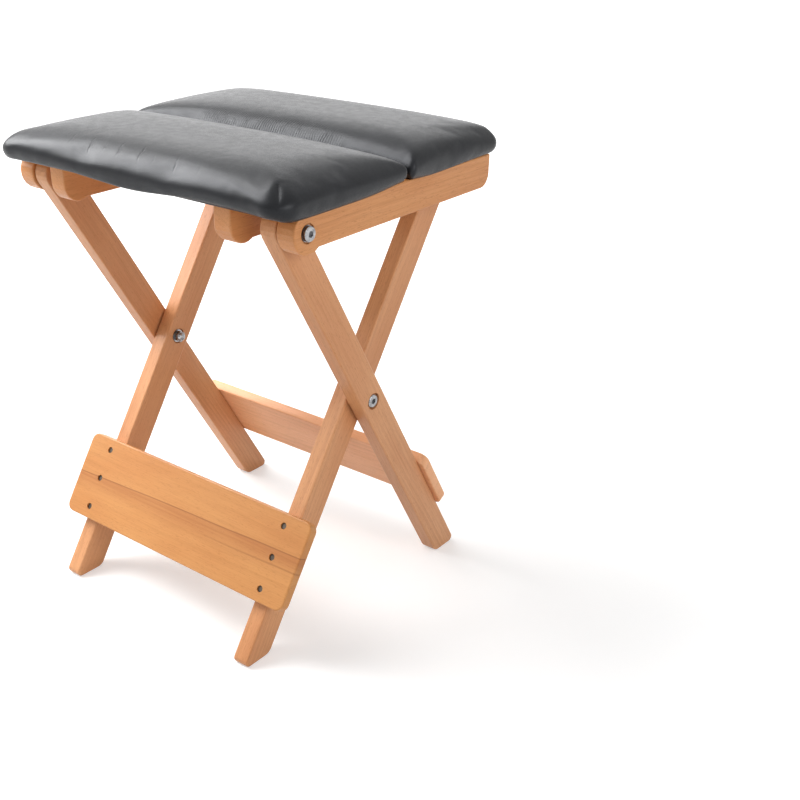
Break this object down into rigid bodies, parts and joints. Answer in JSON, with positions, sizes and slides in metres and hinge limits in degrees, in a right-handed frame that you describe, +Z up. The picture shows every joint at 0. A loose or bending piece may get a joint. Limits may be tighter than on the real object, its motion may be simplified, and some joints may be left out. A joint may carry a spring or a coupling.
{
  "type": "folding yoga stool",
  "caption": "Folding wooden stool with crossed legs, two cross boards and a padded seat split into a front and a back cushion.",
  "frame": {"origin": "on the floor, under the middle of the stool's bounding box", "axes": "+Z up, +X to the stool's right, -Y towards the front, where the wide cross board is"},
  "size_m": [0.343, 0.3102, 0.4465],
  "materials": {
    "leg_wood": "clear satin varnish on beech",
    "rail_wood": "clear satin varnish on beech",
    "front_board_wood": "clear satin varnish with a dark heartwood band",
    "rear_board_wood": "clear satin varnish on beech",
    "seat_plywood": "raw plywood",
    "seat_leather": "grained black leather, semi gloss",
    "bolt_steel": "zinc plated",
    "screw_steel": "dark zinc plated"
  },
  "bodies": {
    "outer_legs": {"outer_leg_left": "leg_wood", "outer_leg_right": "leg_wood", "rear_board": "rear_board_wood", "rear_board_screw_left_1": "screw_steel", "rear_board_screw_left_2": "screw_steel", "rear_board_screw_right_1": "screw_steel", "rear_board_screw_right_2": "screw_steel", "crossing_bolt_left": "bolt_steel", "crossing_bolt_right": "bolt_steel", "crossing_spacer_left": "bolt_steel", "crossing_spacer_right": "bolt_steel", "crossing_washer_left": "bolt_steel", "crossing_washer_right": "bolt_steel", "crossing_cap_nut_left": "bolt_steel", "crossing_cap_nut_right": "bolt_steel", "pivot_bolt_left": "bolt_steel", "pivot_bolt_right": "bolt_steel", "pivot_washer_left": "bolt_steel", "pivot_washer_right": "bolt_steel", "pivot_spacer_left": "bolt_steel", "pivot_spacer_right": "bolt_steel", "pivot_sleeve_nut_left": "bolt_steel", "pivot_sleeve_nut_right": "bolt_steel"},
    "inner_legs": {"inner_leg_left": "leg_wood", "inner_leg_right": "leg_wood", "front_board": "front_board_wood", "front_board_screw_left_1": "screw_steel", "front_board_screw_left_2": "screw_steel", "front_board_screw_left_3": "screw_steel", "front_board_screw_right_1": "screw_steel", "front_board_screw_right_2": "screw_steel", "front_board_screw_right_3": "screw_steel"},
    "seat": {"outer_rail_left": "rail_wood", "outer_rail_right": "rail_wood", "inner_rail_left": "rail_wood", "inner_rail_right": "rail_wood", "leg_rest_left": "rail_wood", "leg_rest_right": "rail_wood", "leg_rest_screw_left": "screw_steel", "leg_rest_screw_right": "screw_steel", "front_seat_board": "seat_plywood", "back_seat_board": "seat_plywood", "front_cushion": "seat_leather", "back_cushion": "seat_leather", "front_seat_screw_inner_left": "screw_steel", "front_seat_screw_inner_right": "screw_steel", "front_seat_screw_outer_left": "screw_steel", "front_seat_screw_outer_right": "screw_steel", "back_seat_screw_inner_left": "screw_steel", "back_seat_screw_inner_right": "screw_steel", "back_seat_screw_outer_left": "screw_steel", "back_seat_screw_outer_right": "screw_steel"}
  },
  "joints": [
    {"name": "leg_fold", "type": "hinge", "parent": "outer_legs", "child": "inner_legs", "pos_m": [0, 0.00504, 0.2175], "axis": [1, 0, 0], "range_deg": [0, 64.25]},
    {"name": "seat_lift", "type": "hinge", "parent": "outer_legs", "child": "seat", "pos_m": [0, -0.10753, 0.40302], "axis": [1, 0, 0], "range_deg": [0, 121.25]}
  ],
  "couplings": [
    {"joint": "seat_lift", "follows": "leg_fold", "ratio": 1.887}
  ]
}
